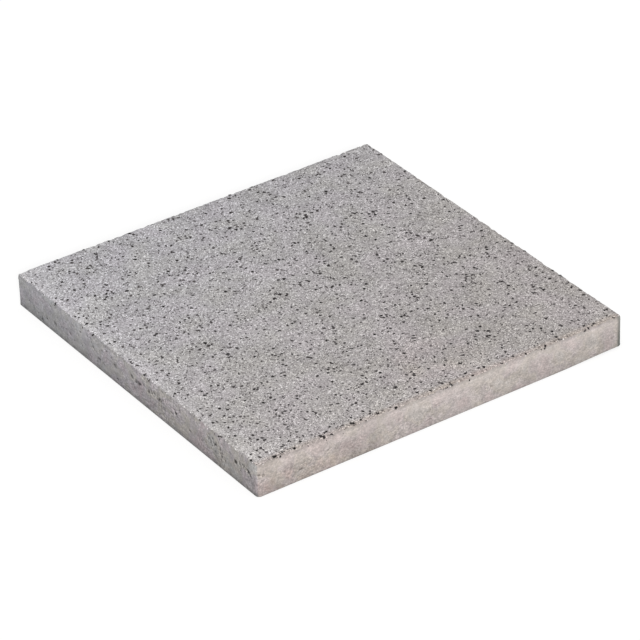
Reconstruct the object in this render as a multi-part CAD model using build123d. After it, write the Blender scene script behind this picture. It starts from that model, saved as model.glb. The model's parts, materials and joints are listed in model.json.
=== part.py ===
from build123d import *
import os

# Exposed-aggregate concrete paving slab, pressed and cured in one piece.
# Millimetres, +Z up. The slab lies flat, and the origin is the middle of its underside.

# Overall size, the square 450 format
length = 450.0
width = 450.0
thickness = 38.0

# Edges
corner_radius = 4.5
arris_radius = 3.0
underside_radius = 1.0


def plan_block():
    """The block as it leaves the mould: straight sides, rounded upright corners, sharp edges."""
    plan = RectangleRounded(length, width, corner_radius)
    return extrude(plan, thickness)


def round_rim(block, face_along, radius):
    """Round the whole rim of the block's highest or lowest level face."""
    rim = block.faces().sort_by(Axis.Z)[face_along].edges()
    return fillet(rim, radius)


def paving_slab():
    """The slab: the walking face is blasted, which rounds its arris, and the bed edge is nearly crisp."""
    block = plan_block()
    faced = round_rim(block, -1, arris_radius)
    return round_rim(faced, 0, underside_radius)


os.makedirs("parts", exist_ok=True)
slab = paving_slab()
slab.label = "paving_slab"
export_step(slab, "parts/paving_slab.step")
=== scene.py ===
import json
import math

import bmesh
import bpy
from mathutils import Matrix, Vector, noise

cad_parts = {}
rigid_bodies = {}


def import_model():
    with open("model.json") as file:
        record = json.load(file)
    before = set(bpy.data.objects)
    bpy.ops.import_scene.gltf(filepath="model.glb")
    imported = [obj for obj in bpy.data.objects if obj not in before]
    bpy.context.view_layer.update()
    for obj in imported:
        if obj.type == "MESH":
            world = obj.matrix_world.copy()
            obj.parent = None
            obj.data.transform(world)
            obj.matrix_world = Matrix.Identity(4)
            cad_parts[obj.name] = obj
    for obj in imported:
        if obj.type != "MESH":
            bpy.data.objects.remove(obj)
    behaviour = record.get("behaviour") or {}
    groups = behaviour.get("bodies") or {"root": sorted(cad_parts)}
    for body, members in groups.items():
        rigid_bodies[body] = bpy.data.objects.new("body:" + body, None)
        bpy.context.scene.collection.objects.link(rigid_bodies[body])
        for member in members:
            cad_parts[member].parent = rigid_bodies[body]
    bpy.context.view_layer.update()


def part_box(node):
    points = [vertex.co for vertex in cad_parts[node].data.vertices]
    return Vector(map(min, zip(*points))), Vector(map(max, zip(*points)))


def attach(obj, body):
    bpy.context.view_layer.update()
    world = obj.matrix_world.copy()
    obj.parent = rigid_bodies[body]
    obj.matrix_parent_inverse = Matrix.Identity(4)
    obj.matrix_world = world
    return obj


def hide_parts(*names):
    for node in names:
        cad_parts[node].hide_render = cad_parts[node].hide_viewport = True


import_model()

# The cast block.
# Pressed concrete struck from a steel mould: a square block with straight smooth sides, rounded upright
# corners, a walking face whose arris was worn round by blasting, and a nearly crisp edge on the bed side.

millimetre = 0.001
hair = 0.001 * millimetre
low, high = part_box("paving_slab")
side_length = high.x - low.x
corner_radius = 4.5 * millimetre
arris_radius = 3.0 * millimetre
bed_edge_radius = 1.0 * millimetre
round_steps = 4
bed_edge_steps = 2
cuts_each_round = 15
fan_share = 0.62

bpy.ops.object.select_all(action="DESELECT")
bpy.ops.mesh.primitive_cube_add(size=1.0, location=(low + high) / 2, scale=high - low)
slab = bpy.context.object
slab.name = "slab_body"
bpy.ops.object.transform_apply(location=True, rotation=True, scale=True)


def settle():
    """Leaves edit mode and comes back, which puts the mesh in a fixed order, so that each run is the same."""
    bpy.ops.object.mode_set(mode="OBJECT")
    bpy.ops.object.mode_set(mode="EDIT")


def pick(kind, test):
    """In edit mode, leaves only the edges or faces that pass the test selected."""
    bpy.ops.mesh.select_mode(type=kind)
    bpy.ops.mesh.select_all(action="DESELECT")
    mesh = bpy.context.object.data
    edit = bmesh.from_edit_mesh(mesh)
    for part in edit.edges if kind == "EDGE" else edit.faces:
        if test(part):
            part.select_set(True)
    bmesh.update_edit_mesh(mesh)


def upright(edge):
    """True for an edge that runs straight up."""
    start, end = edge.verts
    return abs(start.co.z - end.co.z) > 0.9 * edge.calc_length()


def on_rim(edge, height):
    """True for an edge where the level face at that height meets the sides."""
    level = all(abs(corner.co.z - height) < hair for corner in edge.verts)
    return level and any(abs(face.normal.z) < 0.5 for face in edge.link_faces)


# Setting the walking face in by the corner radius draws each corner's arc to one point, which leaves a plain
# square that cuts into an even grid.
bpy.ops.object.mode_set(mode="EDIT")
pick("EDGE", upright)
bpy.ops.mesh.bevel(offset=corner_radius, segments=round_steps, affect="EDGES")
pick("FACE", lambda face: face.normal.z > 0.9)
bpy.ops.mesh.inset(thickness=corner_radius)
bpy.ops.mesh.select_all(action="SELECT")
bpy.ops.mesh.remove_doubles(threshold=1.0 * millimetre)
pick("EDGE", lambda edge: on_rim(edge, high.z))
bpy.ops.mesh.bevel(offset=arris_radius, segments=round_steps, affect="EDGES")
pick("EDGE", lambda edge: on_rim(edge, low.z))
bpy.ops.mesh.bevel(offset=bed_edge_radius, segments=bed_edge_steps, affect="EDGES")
pick("FACE", lambda face: face.normal.z < -0.99)
bpy.ops.mesh.delete(type="FACE")

# Two rounds of cuts make a grid of 256 by 256 on the face, and 16 rows down each side. The bed face stays
# plain: a ring, and inside it a fan of faces as wide as its share of the slab.
settle()
for shortest in (100 * millimetre, 20 * millimetre):
    pick("EDGE", lambda edge: edge.calc_length() > shortest)
    bpy.ops.mesh.subdivide(number_cuts=cuts_each_round)
settle()
pick("EDGE", lambda edge: edge.is_boundary)
bpy.ops.mesh.edge_face_add()
bpy.ops.mesh.extrude_region()
bpy.ops.transform.resize(value=(fan_share, fan_share, 1.0), center_override=(0.0, 0.0, low.z))
bpy.ops.mesh.poke()


def rough(point, grain, seed=0.0):
    """Smooth noise from 0 to 1, with lumps of the given size."""
    return 0.5 + 0.5 * noise.noise(point / grain + Vector((seed, seed, seed)))


# Air against the mould and torn fines left pits in the sides, most of them in the front two thirds of the
# left side. The side pits are listed in millimetres: distance from the front corner, depth below the face
# and half width. The lip pits are stones that broke out of the arris at the front, left and right, listed by
# distance along the right and left sides from the front corner and half width.
left_pits = (
    (402, 33, 2.4), (392, 28, 1.8), (376, 26, 3.2), (300, 17, 1.6), (289, 25, 2.4), (265, 11, 1.8),
    (258, 18, 2.6), (255, 32, 2.2), (226, 14, 2.8), (217, 16, 3.6), (212, 15, 2.8), (204, 12, 1.8),
    (194, 16, 3.0), (189, 14, 2.2), (185, 12, 2.4), (178, 17, 2.4), (173, 15, 3.2), (152, 19, 2.6),
    (148, 12, 2.4), (145, 16, 3.2), (120, 24, 1.8), (100, 27, 1.8), (86, 13, 2.6), (82, 16, 2.4),
    (76, 15, 3.2), (65, 22, 1.8), (38, 16, 2.8), (31, 14, 2.2), (24, 13, 2.6), (17, 15, 3.4), (13, 18, 2.2),
)
right_pits = ((3, 13, 2.2), (8, 15, 2.0), (52, 25, 2.4), (208, 30, 1.6), (276, 20, 1.8), (284, 21, 1.6))
lip_pits = (
    (24, 4, 2.5), (36, 7, 2.0), (47, 4, 2.0), (118, 6, 2.9), (131, 2, 1.6), (147, 5, 2.2),
    (168, 3, 2.2), (235, 3, 1.6), (262, 3, 2.0), (372, 4, 2.0), (441, 2, 1.7), (444, 56, 1.8),
    (2, 13, 1.6), (1, 64, 1.8), (1, 102, 1.8), (2, 204, 2.0), (1, 375, 1.8),
)
front_corner = Vector((low.x, low.y, high.z))
pit_places = [(Vector((0, along, -depth)), width) for along, depth, width in left_pits]
pit_places += [(Vector((along, 0, -depth)), width) for along, depth, width in right_pits]
pit_places += [(Vector((right, left, 0)), width) for right, left, width in lip_pits]
pit_squash = Vector((1.0, 1.0, 1.5))

# Small stray pits open where noise passes a level, which drops where the side is torn. The sides are most
# torn 15 mm below the face.
stray_level = 0.92
torn_drop = 0.30
torn_depth = 15.0


def pitted(face):
    """True for a cell of the skin that a listed pit or a small stray one takes in; works in millimetres."""
    place = (face.calc_center_median() - front_corner) / millimetre
    ragged = 0.75 + 0.5 * rough(place, 1.5, 4.0)
    if any(((place - pit) * pit_squash).length < width * ragged for pit, width in pit_places):
        return True
    if abs(face.normal.z) > 0.1 or not -33 < place.z < -4:
        return False
    torn = rough(place, 45.0, 2.0) - 0.004 * abs(place.z + torn_depth)
    on_right_side = place.y < 1.0 < place.x
    return not on_right_side and rough(place * pit_squash, 2.8, 7.0) > stray_level - torn_drop * torn


settle()
pick("FACE", pitted)
bpy.ops.mesh.inset(thickness=0.35 * millimetre, depth=-0.25 * millimetre)
pits = slab.vertex_groups.new(name="pits")
slab.vertex_groups.active_index = pits.index
bpy.ops.object.vertex_group_assign()
bpy.ops.transform.vertex_random(offset=0.35 * millimetre, seed=38)
bpy.ops.mesh.select_all(action="SELECT")
bpy.ops.mesh.normals_make_consistent(inside=False)
bpy.ops.object.mode_set(mode="OBJECT")

# Blasting cut the paste back between the stones, nibbled the arris, and left the sides as cast. The weights
# say how hard each part of the skin was hit, and how far the foot of the right corner is worn away.


def ramp(value, start, end):
    """0 before start, 1 after end, and a smooth rise between them."""
    share = min(max((value - start) / (end - start), 0.0), 1.0)
    return share * share * (3.0 - 2.0 * share)


right_corner = Vector((high.x, low.y, low.z))
groups = {name: slab.vertex_groups.new(name=name) for name in ("blasted", "nibbled", "cast", "lifted")}
pit_shade = slab.data.attributes.new("pit", "FLOAT", "POINT")
for vertex in slab.data.vertices:
    point = vertex.co
    depth = high.z - point.z
    inset = min(point.x - low.x, high.x - point.x, point.y - low.y, high.y - point.y)
    on_face = 1.0 - ramp(depth, 2.0 * millimetre, 4.5 * millimetre)
    by_arris = (1.0 - ramp(inset, 1.0 * millimetre, 6.0 * millimetre)) * on_face
    bites = ramp(rough(point, 7.0 * millimetre), 0.52, 0.80) + 0.25 * rough(point, 3.0 * millimetre, 5.0)
    below_arris = ramp(depth, 3.0 * millimetre, 8.0 * millimetre)
    above_bed = ramp(point.z, 0.2 * millimetre, 3.0 * millimetre)
    by_corner = 1.0 - ramp((point - right_corner).length, 10 * millimetre, 85 * millimetre)
    by_foot = 1.0 - ramp(point.z, 0.0, 9 * millimetre)
    groups["blasted"].add([vertex.index], on_face, "REPLACE")
    groups["nibbled"].add([vertex.index], min(by_arris * bites, 1.0), "REPLACE")
    groups["cast"].add([vertex.index], below_arris * above_bed, "REPLACE")
    groups["lifted"].add([vertex.index], by_corner * by_foot, "REPLACE")
    # How deep each pit is cut and how dark it is painted: painted shade with some dirt, full in the lip pits
    # at the arris, less on the right side.
    if any(member.group == pits.index for member in vertex.groups):
        deep = 0.33 + 0.55 * ramp(rough(point, 4.0 * millimetre, 3.0), 0.35, 0.65)
        on_right_side = point.y < low.y + millimetre and point.x > low.x + millimetre
        if depth < 2.5 * millimetre:
            deep = 1.0
        elif on_right_side:
            deep *= 0.7
        pits.add([vertex.index], deep, "REPLACE")
        pit_shade.data[vertex.index].value = deep


def press(piece, name, kind, grain, strength, level, group, direction="NORMAL"):
    """Shapes the piece's skin by a lumpy pattern, then fixes that shape in the mesh."""
    step = piece.modifiers.new(name, "DISPLACE")
    if kind:
        step.texture = bpy.data.textures.new(name, kind)
        step.texture.noise_scale = grain
    step.texture_coords = "LOCAL"
    step.strength = strength
    step.mid_level = level
    step.vertex_group = group
    step.direction = direction
    bpy.ops.object.modifier_apply(modifier=name)


press(slab, "stone_bed", "VORONOI", 3.4 * millimetre, -0.55 * millimetre, 0.0, "blasted")
press(slab, "face_wave", "CLOUDS", 11 * millimetre, 0.35 * millimetre, 1.0, "blasted")
press(slab, "arris_bites", "CLOUDS", 7 * millimetre, 2.0 * millimetre, 1.0, "nibbled")
press(slab, "mould_wave", "CLOUDS", 28 * millimetre, 0.5 * millimetre, 1.0, "cast")
press(slab, "cast_skin", "CLOUDS", 4 * millimetre, 0.12 * millimetre, 1.0, "cast")
press(slab, "pit_floor", None, 0.0, -1.6 * millimetre, 0.0, "pits")
press(slab, "worn_foot", None, 0.0, 1.5 * millimetre, 0.0, "lifted", "Z")

# Nothing stands past the mould.
for vertex in slab.data.vertices:
    vertex.co = [min(max(value, least), most) for value, least, most in zip(vertex.co, low, high)]
bpy.ops.object.shade_smooth()

# The concrete itself: grey paste full of sand, grey and pale grit on the blasted face, and on the sides a
# smooth skin of fines, with painted light and shade that make it pale under the arris and dull and dark
# towards the bed.


def start(nodes_of):
    """Empties a node tree, and makes it the one that the next nodes go into."""
    global tree
    tree = nodes_of
    tree.nodes.clear()


def put(kind, sockets=None, **settings):
    """Adds a node to the current tree, with its settings and its sockets' values or links."""
    node = tree.nodes.new(kind)
    for name, value in settings.items():
        setattr(node, name, value)
    for key, value in (sockets or {}).items():
        if isinstance(value, bpy.types.NodeSocket):
            tree.links.new(value, node.inputs[key])
        else:
            node.inputs[key].default_value = value
    return node


def work(kind, first, second=0.0, third=0.0):
    """One sum on values."""
    return put("ShaderNodeMath", {0: first, 1: second, 2: third}, operation=kind).outputs[0]


def times(first, second):
    """Multiplies two values."""
    return work("MULTIPLY", first, second)


def between(value, start, end, low_out=0.0, high_out=1.0):
    """Maps start..end of a value to another range, smoothly and clamped."""
    sockets = {0: value, 1: start, 2: end, 3: low_out, 4: high_out}
    return put("ShaderNodeMapRange", sockets, interpolation_type="SMOOTHSTEP").outputs[0]


def fading(value, start, end):
    """1 before start, 0 after end, and a smooth fall between them."""
    return between(value, start, end, 1.0, 0.0)


def clouds(grain, detail=2.0, stretch=(1.0, 1.0, 1.0)):
    """Soft noise with lumps of the given size, squeezed along the axes."""
    pattern = put("ShaderNodeMapping", {"Vector": where, "Scale": stretch}).outputs[0]
    lumps = put("ShaderNodeTexNoise", {"Vector": pattern, "Scale": 1.0 / grain, "Detail": detail})
    return lumps.outputs["Fac"]


def uneven(grain, amount, stretch=(1.0, 1.0, 1.0)):
    """A value that wanders about 1, by that amount each way, in lumps of the given size."""
    return between(clouds(grain, 3.0, stretch), 0.3, 0.7, 1.0 - amount, 1.0 + amount)


def cells(grain):
    """Packed angular cells of the given size."""
    return put("ShaderNodeTexVoronoi", {"Vector": where, "Scale": 1.0 / grain})


def grey(value, warmth=0.0):
    """A grey of that lightness, pushed a little to red by warmth."""
    return (value * (1.0 + warmth), value, value, 1.0)


def steps(factor, stops, interpolation="LINEAR"):
    """Turns a value into a colour by stops of (place, colour)."""
    node = put("ShaderNodeValToRGB", {"Fac": factor})
    node.color_ramp.interpolation = interpolation
    band = node.color_ramp.elements
    while len(band) < len(stops):
        band.new(1.0)
    for element, (place, colour) in zip(band, stops):
        element.position = place
        element.color = colour
    return node.outputs["Color"]


def blend(factor, first, second, kind="MIX"):
    """Mixes two colours."""
    node = put("ShaderNodeMix", {0: factor, 6: first, 7: second}, data_type="RGBA", blend_type=kind)
    return node.outputs[2]


def tinted(colour, layer, amount=1.0):
    """Multiplies a colour by another colour or value, as far as amount says."""
    return blend(amount, colour, layer, "MULTIPLY")


concrete = bpy.data.materials.new("concrete")
concrete.use_nodes = True
start(concrete.node_tree)
here = put("ShaderNodeTexCoord")
where = here.outputs["Object"]
across, along, height = put("ShaderNodeSeparateXYZ", {0: where}).outputs
from_left = work("SUBTRACT", across, low.x)
from_front = work("SUBTRACT", along, low.y)
from_back = work("SUBTRACT", high.y, along)
depth_below = work("SUBTRACT", high.z, height)

# The blasted face: sand of about a millimetre with coarser grains among it, all in shades of grey.
sand_size = 0.98 * millimetre
grit_size = 1.95 * millimetre
sand = cells(sand_size)
sand_pick = put("ShaderNodeSeparateColor", {0: sand.outputs["Color"]}).outputs[0]
sand_colour = steps(sand_pick, [
    (0.00, grey(0.11, 0.03)),
    (0.09, grey(0.26, 0.01)),
    (0.30, grey(0.38)),
    (0.62, grey(0.49, -0.01)),
    (0.88, grey(0.82, -0.02)),
], "CONSTANT")
grit_picks = put("ShaderNodeSeparateColor", {0: cells(grit_size).outputs["Color"]}).outputs
grit_colour = steps(grit_picks[0], [
    (0.00, grey(0.17, 0.02)),
    (0.14, grey(0.32, 0.01)),
    (0.45, grey(0.45)),
    (0.80, grey(0.64, -0.01)),
], "CONSTANT")
is_grit = between(grit_picks[1], 0.76, 0.80)
face_colour = blend(times(is_grit, 0.7), sand_colour, grit_colour)
smeared = between(clouds(20 * millimetre), 0.45, 0.65, 0.0, 0.24)
face_colour = blend(smeared, face_colour, grey(0.44))
dust = uneven(0.6 * millimetre, 0.07)
shade = uneven(38 * millimetre, 0.06)
tint = steps(clouds(42 * millimetre), [
    (0.38, (1.000, 1.002, 0.976, 1.0)),
    (0.50, (1.000, 1.000, 1.000, 1.0)),
    (0.62, (1.010, 0.996, 1.016, 1.0)),
])

# Painted light: the face is palest at its left edge, and it is cool at the back left and warm at the front
# right, as a lamp's fall-off and warm and cool light would make it. A faint brown stain has spread from the
# middle of the front edge into the front right.
stain_centre = (0.02, -0.18, high.z)
# Painted light: warm and cool light painted into the face's colour.
slant = work("MULTIPLY_ADD", across, 0.35, times(along, -0.65))
painted_light_tint = steps(between(slant, -0.5 * side_length, 0.5 * side_length), [
    (0.0, (1.026, 1.004, 1.052, 1.0)),
    (0.5, (1.025, 0.976, 0.982, 1.0)),
    (1.0, (1.020, 0.948, 0.932, 1.0)),
])
# Painted light: a lamp's fall-off across the face, palest at the left edge.
over_width = between(across, low.x, high.x)
painted_fall_off = steps(over_width, [
    (0.00, grey(1.045)),
    (0.35, grey(1.010)),
    (0.80, grey(0.965)),
    (1.00, grey(0.975)),
])
from_stain = put("ShaderNodeVectorMath", {0: where, 1: stain_centre}, operation="DISTANCE")
stain_patches = between(clouds(25 * millimetre), 0.35, 0.60, 0.3, 1.0)
stain = times(fading(from_stain.outputs["Value"], 10 * millimetre, 75 * millimetre), stain_patches)
brown = blend(stain, grey(1.0), (1.025, 0.990, 0.975, 1.0))
for layer in (dust, shade, tint, painted_light_tint, painted_fall_off, brown):
    face_colour = tinted(face_colour, layer)

# A thin film of laitance whitens the left edge and the left end of the back edge. Near the front edge the
# face is a little cleaner, and its lip is a little browner.
left_film = times(between(from_left, 1 * millimetre, 4 * millimetre),
                  between(from_left, 6 * millimetre, 14 * millimetre, 0.55, 0.14))
left_film = times(left_film, fading(from_left, 16 * millimetre, 60 * millimetre))
back_film = times(between(from_back, 3 * millimetre, 30 * millimetre, 0.22, 0.0),
                  fading(from_left, 20 * millimetre, 90 * millimetre))
film_patches = between(clouds(4 * millimetre, 3.0), 0.35, 0.62, 0.45, 1.35)
film = times(work("MAXIMUM", left_film, back_film), film_patches)
whitened = blend(0.35, tinted(face_colour, grey(1.42)), (0.575, 0.562, 0.572, 1.0))
face_colour = blend(film, face_colour, whitened)
clean = times(between(from_front, 3 * millimetre, 9 * millimetre),
              fading(from_front, 14 * millimetre, 50 * millimetre))
face_colour = tinted(face_colour, grey(1.06), clean)
front_lip = fading(from_front, 3 * millimetre, 11 * millimetre)
face_colour = tinted(face_colour, (0.990, 0.935, 0.890, 1.0), front_lip)

# The cast sides, from the arris down: a pale band, then duller, then a dark line at the bed; this rise and
# fall is painted light and shade. The two sides that meet at the right corner are warm and lighter, the other
# two
# cool and darker: painted light, a lit and a shaded copy of one skin.
# Painted light and shade down the sides: paler under the arris, darker towards the bed.
side_light_and_shade = steps(work("DIVIDE", depth_below, high.z), [
    (0.00, grey(0.98)),
    (0.08, grey(1.08)),
    (0.17, grey(1.22)),
    (0.27, grey(1.14)),
    (0.42, grey(1.01)),
    (0.70, grey(0.96)),
    (0.84, grey(0.88)),
    (0.93, grey(0.84)),
    (1.00, grey(0.79)),
])
warm_side = between(work("SUBTRACT", across, along), -1 * millimetre, 1 * millimetre)
# Painted light: the warm sides get a lighter, warmer copy of the skin and the cool sides a darker, cooler
# one, as lit and shaded sides.
cool_shaded_base = steps(between(along, -0.12, 0.20), [
    (0.0, (0.383, 0.361, 0.360, 1.0)),
    (0.5, (0.371, 0.357, 0.370, 1.0)),
    (1.0, (0.358, 0.355, 0.372, 1.0)),
])
warm_lit_base = steps(between(across, -0.20, -0.02), [
    (0.0, (0.450, 0.403, 0.383, 1.0)),
    (1.0, (0.457, 0.415, 0.397, 1.0)),
])
side_colour = tinted(blend(warm_side, cool_shaded_base, warm_lit_base), side_light_and_shade)
# Painted shade: the top few millimetres of the sides, at the arris, are darkened, a little more on the warm
# sides.
lip_shade_level = work("MULTIPLY_ADD", warm_side, -0.05, 0.77)
lip_painted_shade = between(depth_below, 0.5 * millimetre, 5 * millimetre, lip_shade_level, 1.0)
side_colour = tinted(side_colour, lip_painted_shade)
low_tone = steps(over_width, [
    (0.00, grey(1.02)),
    (0.16, grey(0.97)),
    (0.40, grey(1.07)),
    (0.62, grey(1.09)),
    (1.00, grey(1.00)),
])
low_down = times(warm_side, between(depth_below, 9 * millimetre, 21 * millimetre))
side_colour = tinted(side_colour, low_tone, low_down)
mottle = uneven(10 * millimetre, 0.10)
layering = uneven(14 * millimetre, 0.07, (1.0, 1.0, 3.0))
speck = uneven(1.4 * millimetre, 0.20, (1.0, 1.0, 1.3))
blush = steps(clouds(22 * millimetre, 3.0), [
    (0.36, (0.980, 1.002, 0.997, 1.0)),
    (0.45, (1.006, 1.004, 0.966, 1.0)),
    (0.54, (0.998, 0.995, 1.018, 1.0)),
    (0.64, (1.028, 0.984, 1.006, 1.0)),
])
even_colour = side_colour
for layer in (mottle, layering, speck, blush):
    side_colour = tinted(side_colour, layer)
cool_front = times(work("SUBTRACT", 1.0, warm_side), between(along, -0.04, 0.10, 0.6, 0.0))
side_colour = tinted(side_colour, blush, cool_front)

# Torn patches of the sides are coarse and full of small dark flecks. They are fainter towards the far ends of
# both near sides, and in the pale band along the top of the warm sides.
torn = between(clouds(45 * millimetre), 0.36, 0.56)
torn = times(torn, between(along, 0.03, 0.11, 1.0, 0.4))
calm_end = times(warm_side, between(across, -0.10, 0.10, 0.2, 0.7))
calm_band = times(warm_side, fading(depth_below, 9 * millimetre, 17 * millimetre))
torn = times(torn, work("SUBTRACT", 1.0, calm_end))
torn = times(torn, work("MULTIPLY_ADD", calm_band, -0.5, 1.0))
side_colour = blend(times(calm_band, 0.35), side_colour, even_colour)
coarse = uneven(3.2 * millimetre, 0.28, (1.0, 1.0, 1.5))
coarsened = tinted(side_colour, coarse)
side_colour = blend(work("MULTIPLY_ADD", torn, 0.8, 0.2), side_colour, coarsened)
fleck = between(clouds(2.4 * millimetre, 4.0, (1.0, 1.0, 1.7)), 0.58, 0.68)
fleck = times(fleck, work("MULTIPLY_ADD", torn, 0.40, 0.12))
side_colour = blend(fleck, side_colour, grey(0.13))

# The bed edge carries a dark line that is partly painted contact shadow and partly dirt, the front end of the
# right side is rusty low down, and a grey-green line of painted shade runs down the right corner, where the
# corner turns away from the lamp.
low_half = between(depth_below, 14 * millimetre, 26 * millimetre)
bed_patches = between(clouds(7 * millimetre, 3.0), 0.35, 0.65, 0.45, 1.0)
# Painted shade and dirt: a dark line along the bed edge, a painted contact shadow, strongest on the cool
# sides.
bed_line_shadow_and_dirt = times(fading(height, 1.5 * millimetre, 6.5 * millimetre), bed_patches)
bed_line_shadow_and_dirt = times(bed_line_shadow_and_dirt, between(warm_side, 0.0, 1.0, 0.55, 0.10))
side_colour = blend(bed_line_shadow_and_dirt, side_colour, grey(0.10))
rust = times(fading(across, -0.18, -0.04), low_half)
rust = times(rust, between(clouds(14 * millimetre), 0.40, 0.60))
side_colour = tinted(side_colour, (1.035, 0.985, 0.955, 1.0), times(rust, warm_side))
# Painted shade: a dark grey-green line down the right corner, where the rounded corner turns away from the
# lamp.
corner_painted_shade = times(between(across, high.x - 7.5 * millimetre, high.x - 4 * millimetre),
                     fading(from_front, 4 * millimetre, 9 * millimetre))
corner_painted_shade = times(corner_painted_shade, between(depth_below, 14 * millimetre, 26 * millimetre, 0.60, 0.85))
side_colour = blend(corner_painted_shade, side_colour, (0.10, 0.11, 0.10, 1.0))

# The bed face is never seen once the slab is laid: dull and even.
facing = put("ShaderNodeSeparateXYZ", {0: here.outputs["Normal"]}).outputs[2]
bed_colour = tinted(tinted(grey(0.34, 0.02), shade), speck)
side_colour = blend(fading(facing, -0.85, -0.65), side_colour, bed_colour)

# Blasting reached one to three millimetres down the sides, to a ragged line. The pits are darkened nearly to
# black: painted shade in the hollows, with some dirt.
ragged = work("MULTIPLY_ADD", clouds(3.5 * millimetre, 3.0), 3 * millimetre, depth_below)
reach = between(warm_side, 0.0, 1.0, 2.6 * millimetre, 2.4 * millimetre)
is_side = between(work("SUBTRACT", ragged, reach), 0.0, 0.7 * millimetre)
surface_colour = blend(is_side, face_colour, side_colour)
pit_shade_and_dirt = put("ShaderNodeAttribute", attribute_name="pit").outputs["Fac"]
surface_colour = blend(pit_shade_and_dirt, surface_colour, grey(0.012))

sand_relief = work("SUBTRACT", 1.0, sand.outputs["Distance"])
face_relief = work("ADD", sand_relief, times(clouds(0.7 * millimetre, 3.0), 0.8))
side_relief = times(clouds(1.6 * millimetre, 4.0), 0.5)
relief = put("ShaderNodeMix", {0: is_side, 2: face_relief, 3: side_relief}).outputs[0]
bump = put("ShaderNodeBump", {"Height": relief, "Distance": 0.4 * millimetre, "Strength": 0.8})
skin = put("ShaderNodeBsdfPrincipled", {"Base Color": surface_colour, "Normal": bump.outputs[0]})
skin.inputs["Roughness"].default_value = 0.9
skin.inputs["Specular IOR Level"].default_value = 0.3
put("ShaderNodeOutputMaterial", {"Surface": skin.outputs[0]})
slab.data.materials.append(concrete)

# The map that the finish is baked through when the part is stored: the face gets most of the picture, the
# sides lie above it as four strips, and the bed face has a small square beside it.
face_share = 0.82
bed_share = 0.16
strip_pitch = (1.0 - face_share) / 4
strip_fill = 0.9
margin = 0.004
bake_map = slab.data.uv_layers.new(name="OFBake")
for face in slab.data.polygons:
    centre = face.center
    gap_x = min(centre.x - low.x, high.x - centre.x)
    gap_y = min(centre.y - low.y, high.y - centre.y)
    on_strip = min(high.z - centre.z, centre.z - low.z) > min(gap_x, gap_y)
    strip = (0 if centre.x < 0 else 1) if gap_x < gap_y else (2 if centre.y < 0 else 3)
    for loop in face.loop_indices:
        corner = slab.data.vertices[slab.data.loops[loop].vertex_index].co - low
        u, v, w = corner.x / side_length, corner.y / side_length, corner.z / high.z
        if on_strip:
            u = v if gap_x < gap_y else u
            v = face_share + strip_pitch * (strip + strip_fill * w) + margin
        elif centre.z > 0.5 * high.z:
            u, v = u * (face_share - margin), v * (face_share - margin)
        else:
            u, v = face_share + margin + u * bed_share, v * bed_share
        bake_map.data[loop].uv = (margin + u * (1.0 - 2.0 * margin), margin + v * (1.0 - 2.0 * margin))

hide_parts("paving_slab")
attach(slab, "root")

# The facing stones.
# Crushed basalt, granite and quartz, one to six millimetres, cast into the face. They lie level with the
# mould's face and stand proud of the blasted paste between them.

chip_kinds = 8
chip_jitter = 0.13
chip_top = 0.24
shapes = bpy.data.collections.new("chip_shapes")
bpy.context.scene.collection.children.link(shapes)
for number in range(chip_kinds):
    bpy.ops.mesh.primitive_ico_sphere_add(subdivisions=1, radius=0.5)
    chip = bpy.context.object
    chip.name = "chip_%d" % number
    bpy.ops.object.mode_set(mode="EDIT")
    bpy.ops.transform.vertex_random(offset=chip_jitter, seed=number + 3)
    stretch = (1.30 - 0.04 * number, 0.66 + 0.05 * number, 0.64)
    bpy.ops.transform.resize(value=stretch)
    bpy.ops.mesh.select_all(action="SELECT")
    bpy.ops.mesh.bisect(plane_co=(0, 0, chip_top), plane_no=(0.06, -0.04, 1), clear_outer=True, use_fill=True)
    bpy.ops.object.mode_set(mode="OBJECT")
    for holder in list(chip.users_collection):
        holder.objects.unlink(chip)
    shapes.objects.link(chip)


def stone_material(name, stops, roughness):
    """Crushed stone: each chip has a tone of its own, with a fine crystal speckle."""
    material = bpy.data.materials.new(name)
    material.use_nodes = True
    start(material.node_tree)
    tone = put("ShaderNodeAttribute", attribute_name="tone").outputs["Fac"]
    place = put("ShaderNodeTexCoord").outputs["Object"]
    crystal = put("ShaderNodeTexNoise", {"Vector": place, "Scale": 1.0 / (0.5 * millimetre), "Detail": 3.0})
    speckle = between(crystal.outputs["Fac"], 0.3, 0.7, 0.78, 1.22)
    colour = tinted(steps(tone, stops), speckle)
    chipped = put("ShaderNodeBump", {"Height": crystal.outputs["Fac"], "Distance": 0.15 * millimetre})
    shader = put("ShaderNodeBsdfPrincipled", {"Base Color": colour, "Normal": chipped.outputs[0]})
    shader.inputs["Roughness"].default_value = roughness
    shader.inputs["Specular IOR Level"].default_value = 0.25
    put("ShaderNodeOutputMaterial", {"Surface": shader.outputs[0]})
    return material


def drawn(seed):
    """A random value from 0 to 1 for each chip."""
    return put("FunctionNodeRandomValue", {2: 0.0, 3: 1.0, 8: seed}, data_type="FLOAT").outputs[1]


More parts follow.
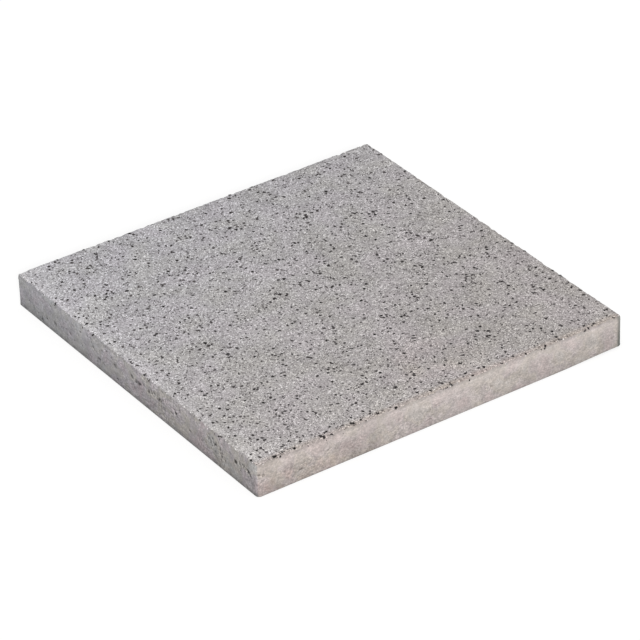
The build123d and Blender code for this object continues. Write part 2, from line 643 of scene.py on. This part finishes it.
def bed_in(name, material, per_square_metre, by_left_edge, smallest, largest, sunk, seed):
    """Scatters chips over the blasted face, more or fewer of them by its left edge, and beds them level."""
    bpy.ops.object.select_all(action="DESELECT")
    bed = bpy.data.objects.new(name, slab.data.copy())
    bpy.context.scene.collection.objects.link(bed)
    bpy.context.view_layer.objects.active = bed
    bed.select_set(True)
    start(bpy.data.node_groups.new(name, "GeometryNodeTree"))
    tree.interface.new_socket("Geometry", in_out="INPUT", socket_type="NodeSocketGeometry")
    tree.interface.new_socket("Geometry", in_out="OUTPUT", socket_type="NodeSocketGeometry")
    surface = put("NodeGroupInput").outputs[0]
    point = put("GeometryNodeInputPosition").outputs[0]
    facing = put("ShaderNodeSeparateXYZ", {0: put("GeometryNodeInputNormal").outputs[0]}).outputs[2]
    upward = between(facing, 0.28, 0.58)
    spot = put("ShaderNodeSeparateXYZ", {0: point}).outputs
    on_top = between(spot[2], high.z - 5 * millimetre, high.z - 4 * millimetre)
    filmed = between(spot[0], low.x + 3 * millimetre, low.x + 10 * millimetre, by_left_edge, 1.0)
    crowd = put("ShaderNodeTexNoise", {"Scale": 1.0 / (14 * millimetre), "Detail": 2.0}).outputs["Fac"]
    thick = between(crowd, 0.35, 0.68, 0.35, 1.9)
    density = times(times(times(upward, on_top), times(thick, filmed)), per_square_metre)
    spots = put("GeometryNodeDistributePointsOnFaces", {"Mesh": surface, "Density": density, "Seed": seed})
    size = work("MULTIPLY_ADD", work("POWER", drawn(seed + 1), 2.6), largest - smallest, smallest)
    turned = put("FunctionNodeRandomValue", {0: (-0.1, -0.1, 0.0), 1: (0.1, 0.1, math.tau), 8: seed + 2},
                 data_type="FLOAT_VECTOR").outputs[0]
    turn = put("FunctionNodeRotateRotation", {0: spots.outputs["Rotation"], 1: turned},
               rotation_space="LOCAL").outputs[0]
    toned = put("GeometryNodeStoreNamedAttribute", {
        0: spots.outputs["Points"], 2: "tone", 3: drawn(seed + 3),
    }, data_type="FLOAT", domain="POINT")
    drop = put("ShaderNodeVectorMath", {0: spots.outputs["Normal"], 3: times(size, -sunk)},
               operation="SCALE").outputs[0]
    lowered = put("GeometryNodeSetPosition", {0: toned.outputs[0], 3: drop})
    kinds = put("GeometryNodeCollectionInfo", {0: shapes, 1: True, 2: True})
    chips = put("GeometryNodeInstanceOnPoints", {
        0: lowered.outputs[0], 2: kinds.outputs[0], 3: True, 5: turn, 6: size,
    })
    solid = put("GeometryNodeRealizeInstances", {0: chips.outputs[0]})
    above = put("ShaderNodeVectorMath", {0: point, 1: low}, operation="MAXIMUM").outputs[0]
    inside = put("ShaderNodeVectorMath", {0: above, 1: high}, operation="MINIMUM").outputs[0]
    level = put("GeometryNodeSetPosition", {0: solid.outputs[0], 2: inside})
    put("NodeGroupOutput", {0: level.outputs[0]})
    step = bed.modifiers.new(name, "NODES")
    step.node_group = tree
    bpy.ops.object.modifier_apply(modifier=name)
    bpy.data.node_groups.remove(tree)
    bed.data.materials.clear()
    bed.data.materials.append(material)
    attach(bed, "root")


basalt = stone_material("basalt", [
    (0.0, grey(0.010, 0.2)),
    (0.6, grey(0.022, 0.2)),
    (1.0, grey(0.08, 0.12)),
], 0.7)
granite = stone_material("granite", [
    (0.0, grey(0.16, 0.07)),
    (0.5, grey(0.27, 0.06)),
    (1.0, grey(0.36, 0.05)),
], 0.8)
quartz = stone_material("quartz", [
    (0.0, grey(0.55, 0.04)),
    (0.7, grey(0.74, 0.035)),
    (1.0, grey(0.95, 0.03)),
], 0.6)
bed_in("basalt_chips", basalt, per_square_metre=21000, by_left_edge=0.45,
       smallest=1.5 * millimetre, largest=4.9 * millimetre, sunk=0.14, seed=4)
bed_in("granite_chips", granite, per_square_metre=9000, by_left_edge=0.6,
       smallest=1.0 * millimetre, largest=2.4 * millimetre, sunk=0.20, seed=14)
bed_in("quartz_chips", quartz, per_square_metre=10000, by_left_edge=3.3,
       smallest=1.1 * millimetre, largest=2.7 * millimetre, sunk=0.20, seed=24)
for chip in list(shapes.objects):
    bpy.data.objects.remove(chip)
bpy.data.collections.remove(shapes)

# The studio.
# A plain white floor that keeps a faint shadow, a soft low lamp from the front right and an even white sky.

floor_size = 24.0
floor_gap = 0.3 * millimetre
floor_glow = 0.74
sky_level = 0.66
white = grey(1.0)


def shown():
    """1 where the camera, a reflection or clear stuff looks at a backdrop, and 0 where it lights the slab."""
    path = put("ShaderNodeLightPath").outputs
    looked_at = work("MAXIMUM", path["Is Camera Ray"], path["Is Glossy Ray"])
    return work("MAXIMUM", looked_at, path["Is Transmission Ray"])


bpy.ops.object.select_all(action="DESELECT")
bpy.ops.mesh.primitive_plane_add(size=floor_size, location=(0, 0, -floor_gap))
floor = bpy.context.object
floor.name = "floor"
bpy.ops.object.transform_apply(location=True, rotation=True, scale=True)
floor_paint = bpy.data.materials.new("floor_paint")
floor_paint.use_nodes = True
start(floor_paint.node_tree)
matt = put("ShaderNodeBsdfDiffuse", {"Color": grey(0.30)})
glow = put("ShaderNodeEmission", {"Color": white, "Strength": times(shown(), floor_glow)})
both = put("ShaderNodeAddShader", {0: matt.outputs[0], 1: glow.outputs[0]})
put("ShaderNodeOutputMaterial", {"Surface": both.outputs[0]})
floor.data.materials.append(floor_paint)

world = bpy.data.worlds.new("studio")
bpy.context.scene.world = world
world.use_nodes = True
start(world.node_tree)
level = work("MULTIPLY_ADD", shown(), 1.0 - sky_level, sky_level)
sky = put("ShaderNodeBackground", {"Color": white, "Strength": level})
put("ShaderNodeOutputWorld", {"Surface": sky.outputs[0]})

towards_lamp = Vector((-0.28, -0.56, 0.34))
lamp_data = bpy.data.lights.new("key_lamp", "SUN")
lamp_data.energy = math.pi * towards_lamp.length
lamp_data.angle = math.radians(14)
lamp_data.color = (1.0, 0.985, 0.965)
lamp = bpy.data.objects.new("key_lamp", lamp_data)
bpy.context.scene.collection.objects.link(lamp)
lamp.rotation_euler = towards_lamp.to_track_quat("Z", "Y").to_euler()

# The camera, solved from the photo's straight edges: a long lens looking down over the near corner.

camera_turn = math.radians(-33.62)
camera_tilt = math.radians(32.21)
camera_roll = math.radians(-2.09)
camera_distance = 4.119
view_centre = (3.65 * millimetre, 4.9 * millimetre)
focal_pixels = 3970
frame_pixels = 640

back = Vector((
    math.sin(camera_turn) * math.cos(camera_tilt),
    -math.cos(camera_turn) * math.cos(camera_tilt),
    math.sin(camera_tilt),
))
level_right = Vector((math.cos(camera_turn), math.sin(camera_turn), 0.0))
level_up = back.cross(level_right)
right = math.cos(camera_roll) * level_right + math.sin(camera_roll) * level_up
up = math.cos(camera_roll) * level_up - math.sin(camera_roll) * level_right
place = view_centre[0] * right + view_centre[1] * up + camera_distance * back
camera_data = bpy.data.cameras.new("camera")
camera_data.sensor_width = 36.0
camera_data.lens = camera_data.sensor_width * focal_pixels / frame_pixels
camera = bpy.data.objects.new("camera", camera_data)
bpy.context.scene.collection.objects.link(camera)
camera.matrix_world = Matrix((
    (right.x, up.x, back.x, place.x),
    (right.y, up.y, back.y, place.y),
    (right.z, up.z, back.z, place.z),
    (0.0, 0.0, 0.0, 1.0),
))
bpy.context.scene.camera = camera
bpy.context.scene.view_settings.view_transform = "Standard"
